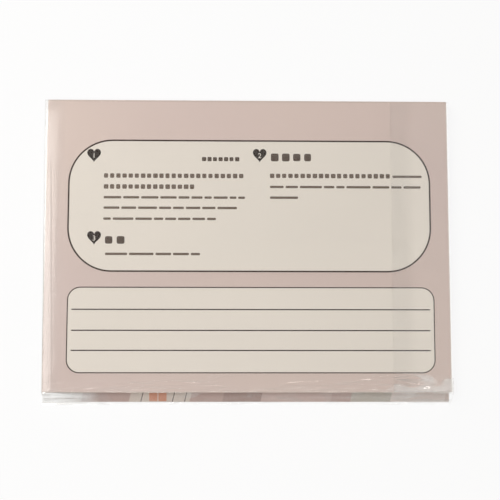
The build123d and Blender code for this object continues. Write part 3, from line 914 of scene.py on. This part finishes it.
# %% Finish of the film
def film_finish(
    name, haze, streak, along, colour=FILM_TINT, face=FACE_MIRROR, corner=0.0, fade=None
):
    """Clear film. face is the share of light that a face sends straight back, corner
    the whiteness of its folded corner, and fade the range where its haze ends."""
    finish, tree = new_finish(name)
    crease = use(tree, film_creases, Haze=haze, Streak=streak, Along=along)
    place = place_in(tree)
    x, y, z = axes(place)
    drawn = noise_node(mapped(place, Scale=(16, 330, 60)), 1.0, Distortion=0.4)
    pucker = spread(maths("ABSOLUTE", minus(drawn, 0.5)), 0.03, 0.0)
    pucker = times(pucker, spread(y, *PUCKERED))
    normal = bump(plus(crease["Height"], times(pucker, 2.0)), 0.012)
    facing = node(tree, "LayerWeight", {"Blend": 0.5, "Normal": normal}).outputs["Facing"]
    glance = times(maths("POWER", facing, 5.0), 1.0 - face)
    rolled = times(spread(x, *ROLLED, 0.0, face * 1.7), spread(y, *ROLL_GROWS, 0.25, 1.0))
    mirror = plus(glance, plus(rolled, face))
    if corner:
        bunched = noise_node(mapped(place, Scale=(60, 500, 900)), 1.0)
        bunched = spread(bunched, 0.35, 0.65, 0.35, 1.0)
        mirror = plus(mirror, times(bunched, spread(x, *FOLDED_CORNER, 0.0, corner)))
    white = plus(crease["Haze"], times(pucker, 0.05))
    if fade:
        white = times(white, spread(x, *fade, 1.0, 0.0))
    else:
        # Painted highlight: white haze along the left edge, on top of the pane lamp's real
        # reflection.
        white = plus(white, spread(x, *PAINTED_LEFT_HIGHLIGHT, 0.0, 0.05))
        # The film bunched along the sealed side towards its right end is whitened in facets:
        # partly the haze of film in layers, partly painted glare.
        facet = mapped(place, Rotation=(0, 0, 0.4), Scale=(50, 150, 70))
        facet = spread(noise_node(facet, 1.0, 1.0, Distortion=0.9), 0.45, 0.56, 0.0, 0.14)
        bunched_haze_and_glare = times(spread(x, *BUNCHED_END), spread(y, *BUNCHED_SEAM))
        bunched_haze_and_glare = times(facet, times(bunched_haze_and_glare, spread(z, *OFF_THE_TABLE)))
        white = plus(white, bunched_haze_and_glare)
        mirror = plus(mirror, times(bunched_haze_and_glare, 0.2))
    total = plus(mirror, white)
    mixed = {"Alpha": maths("MINIMUM", total, 1.0), "Metallic": maths("DIVIDE", mirror, total)}
    feed(tree, Base_Color=colour, Roughness=crease["Roughness"], Normal=normal, **mixed)
    return finish


clear_film = film_finish("clear film", 0.002, 0.008, (10, 160, 60))
side_film = film_finish("clear film at the seam", 0.02, 0.12, (60, 20, 90), corner=0.95)
glue_strip = film_finish(
    "clear glue strip", 0.028, 0.02, (160, 20, 60), GLUE_TINT, face=0.0, fade=GLUE_FADE
)
dress(clear_film, "sleeve_lower_sheet")
dress(glue_strip, "flap_adhesive")

# %% [markdown]
# ## The shape of the film
# Film that is pulled round a card is never flat: it stands off in low ridges
# where it is slack, mostly along the sealed edge, and rolls over the card's
# short edge. A cloth simulation needs far more points than these ridges do,
# so each ridge is written as a line on the card (x and y of its two ends, in
# mm) with a height and a width, and the grid's points are lifted by the sum.

# %% Where the film stands off the card
film_low, film_high = box_mm("sleeve_upper_sheet")
seam_low, seam_high = box_mm("sleeve_seam_side")
end_low, end_high = box_mm("sleeve_end_fold")
flap_low, flap_high = box_mm("sleeve_flap")
fold_low, fold_high = box_mm("sleeve_fold_side")
FILM_T = film_high.z - film_low.z
RIDGES = (
    (-39.4, -62.8, -16.8, -65.4, 0.10, 0.7),
    (-17.0, -65.1, -8.2, -66.3, 0.09, 0.6),
    (-14.1, -64.4, -6.3, -61.8, 0.07, 0.6),
    (-6.6, -61.8, 7.0, -64.3, 0.08, 0.7),
    (10.4, -64.4, 35.3, -63.1, 0.10, 0.7),
    (19.0, -66.9, 44.0, -66.1, 0.07, 0.6),
    (25.6, -63.8, 46.1, -62.8, 0.09, 0.7),
    (44.1, -63.8, 68.9, -61.2, 0.11, 0.7),
    (62.1, -65.6, 74.1, -65.9, 0.12, 0.6),
    (56.0, -67.2, 72.0, -66.9, 0.08, 0.5),
    (74.0, -64.3, 84.6, -63.8, 0.12, 0.8),
    (77.5, -62.8, 96.0, -69.0, 0.10, 0.8),
    (84.3, -67.6, 95.2, -62.8, 0.12, 0.7),
    (96.2, -61.3, 100.0, -65.2, 0.08, 0.6),
    (-90.0, -66.5, -62.0, -67.6, 0.07, 0.7),
    (-62.0, -65.5, -44.0, -66.8, 0.06, 0.6),
    (-98.4, 52.0, -95.6, -66.0, 0.025, 0.32),
    (-94, 70.9, 98, 71.5, 0.035, 0.5),
    (84, -40, 86, 66, 0.08, 1.6),
    (93, -62, 94, 30, 0.04, 1.3),
)
print(len(RIDGES), "ridges in film", round(FILM_T, 3), "mm thick")


def ridge_height(x, y):
    """The sum of the ridges at a place, in mm."""
    total = 0.0
    for x0, y0, x1, y1, high, wide in RIDGES:
        run = Vector((x1 - x0, y1 - y0))
        off = Vector((x - x0, y - y0))
        share = off.dot(run) / run.length_squared
        if not 0 < share < 1:
            continue
        aside = abs(off.cross(run)) / run.length
        if aside < 3 * wide:
            total += high * math.sin(math.pi * share) ** 0.8 * math.exp(-((aside / wide) ** 2))
    return total


def slack(x, y):
    """Broad low waves of the film, never below the card, in mm."""
    slow = noise.noise(Vector((x * 0.02, y * 0.03, 1.7)))
    quick = noise.noise(Vector((x * 0.06, y * 0.16, 4.2)))
    near_seam = max(0.0, min(1.0, (-52 - y) / 16))
    return 0.03 * (1 + slow) + 0.06 * near_seam * (1 + quick)


def ease(value, low, high):
    """0 at low and 1 at high, with a soft start and a soft end."""
    share = max(0.0, min(1.0, (value - low) / (high - low)))
    return share * share * (3 - 2 * share)


def part_way(low, high, share):
    return low + (high - low) * share


# %% [markdown]
# ## One film over the back, the sealed side and the folded end
# In the frame the film's top, its sealed side and its folded end are three
# plates. Here they are one grid, so no gap shows where they meet. Each
# point's column says how far round the folded end and along the card it lies,
# and its row how far up from the seam lip, over the edge and across the back.

# %% The film's outline, in mm
ROLL = 0.8
MIDDLE = film_low.z + FILM_T / 2
FROM_LIP = (
    (0, 0.075), (0.7, 0.085), (1.0, 0.4), (1.25, 1.1), (2.6, 2.9), (4.1, 4.9), (5.35, 6.55),
    (5.75, 6.98), (6.2, MIDDLE),
)
side_rows = [(seam_low.y + inward, z) for inward, z in FROM_LIP]
EDGE_Y = side_rows[-1][0]
END_X, END_FLOOR = end_low.x + FILM_T / 2, end_low.z + FILM_T / 2


def side_place(share):
    """A point on the sealed side's outline, from its lip (0) to the card's edge (1)."""
    at = share * (len(side_rows) - 1)
    step = min(int(at), len(side_rows) - 2)
    (y0, z0), (y1, z1) = side_rows[step], side_rows[step + 1]
    return part_way(y0, y1, at - step), part_way(z0, z1, at - step)


def skew(y, z):
    """How far the film's rolled end leans past the card at a height z."""
    share = (film_high.y - y) / (film_high.y - film_low.y)
    return (1.45 * share - 0.65) * ease(z, 0.1, 2.0)


def end_place(share, y, z):
    """x and z on the folded end: a wall up to 0.4, and then a quarter of a roll."""
    if share < 0.4:
        x = END_X
        z = END_FLOOR + max(z - ROLL - END_FLOOR, 0.01) * share / 0.4
    else:
        turn = (share - 0.4) / 0.6 * math.pi / 2
        radius = min(ROLL, max(z - END_FLOOR, 0.02))
        x = END_X + ROLL * (1 - math.cos(turn))
        z = z - radius + radius * math.sin(turn)
    return x + skew(y, z), z


def column_place(share, first, last):
    """x of a column beyond the rolled end. The first few mm have a finer step."""
    fine_share, fine = 0.16, 6.5
    if share < fine_share:
        return first + fine * share / fine_share
    return first + fine + (last - first - fine) * (share - fine_share) / (1 - fine_share)


print("the sealed side reaches the card's edge at y mm", round(EDGE_Y, 2))


# %% Make the top film
def film_piece(name, columns, rows, place, body, *stands_for):
    """A grid of film. place says where the point lies that is a share along it
    and a share up it."""
    bm = bmesh.new()
    for vert in grid(bm, columns, rows):
        vert.co = place(vert.co.x + 0.5, vert.co.y + 0.5)
    bmesh.ops.recalc_face_normals(bm, faces=bm.faces[:])
    piece = new_piece(name, bm, clear_film, body, smooth=True)
    wall = piece.modifiers.new("film thickness", "SOLIDIFY")
    wall.thickness = FILM_T * MM
    wall.offset = 0.0
    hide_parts(*stands_for)
    return piece


SIDE_SHARE, END_SHARE = 0.22, 0.08


def top_place(along, up):
    """A point of the top film: on its sealed side, its folded end or its top."""
    if up < SIDE_SHARE:
        y, z = side_place(up / SIDE_SHARE)
    else:
        part = (up - SIDE_SHARE) / (1 - SIDE_SHARE)
        y, z = part_way(EDGE_Y, film_high.y, part**1.5), MIDDLE
    if along < END_SHARE:
        x, z = end_place(along / END_SHARE, y, z)
        return x, y, z
    first = END_X + ROLL + skew(y, z)
    x = column_place((along - END_SHARE) / (1 - END_SHARE), first, film_high.x)
    if up < SIDE_SHARE:
        share = up / SIDE_SHARE
        lean = ease(share, 0.25, 0.5) * (1 - ease(share, 0.85, 1.0))
        swell = noise.noise(Vector((x * 0.09, z * 0.25, 8.1)))
        swell += 0.5 * noise.noise(Vector((x * 0.3, z * 0.5, 2.3)))
        return x, y - 0.28 * lean * (0.6 + swell), z
    free = 1 - ease(x, flap_low.x - 9, flap_low.x - 2)
    near = ease(x, first, first + 1.5) * ease(film_high.y - y, 0, 1.2)
    near *= ease(y, EDGE_Y, EDGE_Y + 0.8)
    return x, y, z + (ridge_height(x, y) + slack(x, y)) * free * near


TOP_NODES = ("sleeve_upper_sheet", "sleeve_seam_side", "sleeve_end_fold")
film = film_piece("sleeve_film_top", 200, 215, top_place, "sleeve_top", *TOP_NODES)
film.data.materials.append(side_film)
for face in film.data.polygons:
    if face.center.y < (EDGE_Y + 0.1) * MM:
        face.material_index = 1

# %% Make the flap, and the folded long side along the spine
GLUE_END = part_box("flap_adhesive")[1].x / MM


def flap_place(along, up):
    """A point of the flap, which lies flat along its hinge and under its glue."""
    x = part_way(flap_low.x, flap_high.x, along)
    y = part_way(flap_low.y, flap_high.y, up)
    lift = ridge_height(x, y) + slack(x, y) * 0.8 * ease(x, GLUE_END, GLUE_END + 6)
    return x, y, (flap_low.z + flap_high.z) / 2 + lift * (1 - ease(x, 98.5, 100.9))


def fold_place(along, up):
    x = part_way(fold_low.x, fold_high.x, along)
    z = part_way(fold_low.z, fold_high.z, up)
    belly = math.sin(math.pi * up)
    wave = 1 + noise.noise(Vector((x * 0.05, z * 0.2, 6.0)))
    x += skew(fold_high.y, z) * (1 - ease(x, fold_low.x, fold_low.x + 6))
    return x, (fold_low.y + fold_high.y) / 2 + 0.07 * belly * wave, z


film_piece("sleeve_film_flap", 60, 200, flap_place, "flap", "sleeve_flap")
film_piece("sleeve_film_fold", 160, 16, fold_place, "sleeve_edge", "sleeve_fold_side")

# %% [markdown]
# ## The two creases
# Where the board is scored and folded, its outer skin runs on round the
# corner. The frame has a plate for each panel and a hinge between two, so a
# thin skin is laid over each corner, and no slit shows from behind.

# %% Lay a skin over each fold
SKIN_T, SKIN_REACH, SKIN_BEND = 0.02, 0.9, 0.06


def crease_skin(name, level, outward):
    """A skin round one corner of the spine: over the leaf's face, then the spine's."""
    bm = bmesh.new()
    fold = spine_high.y + SKIN_T / 2
    face = level + outward * SKIN_T / 2
    for vert in grid(bm, 40, 16):
        share = vert.co.y + 0.5
        x = vert.co.x * 2 * (back_high.x - 0.6)
        if share < 0.4:
            y, z = fold - SKIN_BEND - SKIN_REACH * (1 - share / 0.4), face
        elif share < 0.6:
            turn = (share - 0.4) / 0.2 * math.pi / 2
            y = fold - SKIN_BEND + SKIN_BEND * math.sin(turn)
            z = face - outward * SKIN_BEND * (1 - math.cos(turn))
        else:
            y, z = fold, face - outward * (SKIN_BEND + SKIN_REACH * (share - 0.6) / 0.4)
        vert.co = (x, y, z)
    bm.normal_update()
    bmesh.ops.solidify(bm, geom=bm.faces[:], thickness=SKIN_T * 0.5)
    bmesh.ops.recalc_face_normals(bm, faces=bm.faces[:])
    piece = mesh_object(name, bm, board_spine)
    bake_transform(piece)


crease_skin("crease_skin_front", front_low.z, -1)
crease_skin("crease_skin_back", back_high.z, 1)
shown = {name for name, part in nodes.items() if not part.hide_render}
print("nodes shown without a finish of their own", sorted(shown - dressed))

# %% [markdown]
# ## The table, the light and the room
# The photograph is cut out on white. The floor is pale and plain, and shows
# as white to the camera and in reflections, with the card's soft shadow kept.
# A large window lights the card from the upper left, as its fall of tone
# from left to right shows, and a broad weak lamp overhead fills the shadows.
# Two more lamps hang where the film mirrors them to the camera: a tall pane
# gives the pale band along the left edge, and a long narrow bench lamp the
# glints in the wrinkles along the near edge.


# %% Lay the floor
def seen_directly(tree):
    """1 for what the camera sees itself, in a mirror or through glass."""
    path = node(tree, "LightPath").outputs
    seen = plus(plus(path["Is Camera Ray"], path["Is Glossy Ray"]), path["Is Transmission Ray"])
    return maths("MINIMUM", seen, 1.0)


def show_mixed(tree, share, plain, white, end):
    """Sends two shaders, mixed by share, to a tree's output."""
    mix = node(tree, "MixShader", {0: share, 1: plain.outputs[0], 2: white.outputs[0]})
    tree.links.new(mix.outputs[0], tree.nodes[end].inputs["Surface"])


WHITE = {"Color": (1, 1, 1, 1), "Strength": 1.0}
floor_finish, tree = new_finish("pale floor")
shader = feed(tree, Base_Color=(0.96, 0.96, 0.96, 1), Roughness=0.9, Specular_IOR_Level=0.1)
whiteness = spread(length(place_in(tree)), 0.2, 1.0, 0.86, 1.0)
share = times(seen_directly(tree), whiteness)
show_mixed(tree, share, shader, node(tree, "Emission", WHITE), "Material Output")
floor_bm = bmesh.new()
bmesh.ops.translate(floor_bm, vec=(0, 0, -0.0001), verts=grid(floor_bm, size=4.0))
mesh_object("floor", floor_bm, floor_finish, unit=1)

# %% Light the room
world = bpy.data.worlds.new("room")
world.use_nodes = True
scene.world = world
tree = world.node_tree
room = tree.nodes["Background"]
room.inputs["Color"].default_value = (1.0, 0.985, 0.965, 1)
room.inputs["Strength"].default_value = 0.32
backdrop = node(tree, "Background", WHITE)
show_mixed(tree, seen_directly(tree), room, backdrop, "World Output")


def lamp(name, place, aim, wide, tall, power):
    """A rectangular soft lamp at a place in mm, turned to its aim."""
    data = bpy.data.lights.new(name, "AREA")
    data.shape = "RECTANGLE"
    data.size, data.size_y = wide * MM, tall * MM
    data.energy = power
    data.color = (1.0, 0.97, 0.94)
    facing = (Vector(aim) - Vector(place)).normalized().to_track_quat("-Z", "Y")
    made = add_object(name, data)
    made.matrix_world = Matrix.Translation(Vector(place) * MM) @ facing.to_matrix().to_4x4()
    print("lamp", name, power, "W")


lamp("window", (-560, 420, 700), (0, 0, 0), 500, 700, 2.67)
lamp("ceiling", (200, 100, 1500), (0, 0, 0), 1200, 1200, 3.4)
lamp("pane", (-295, 10.5, 600), (-295, 10.5, 0), 168, 423, 0.961)
lamp("bench", (0, -190, 600), (0, -190, 0), 520, 20, 0.34)
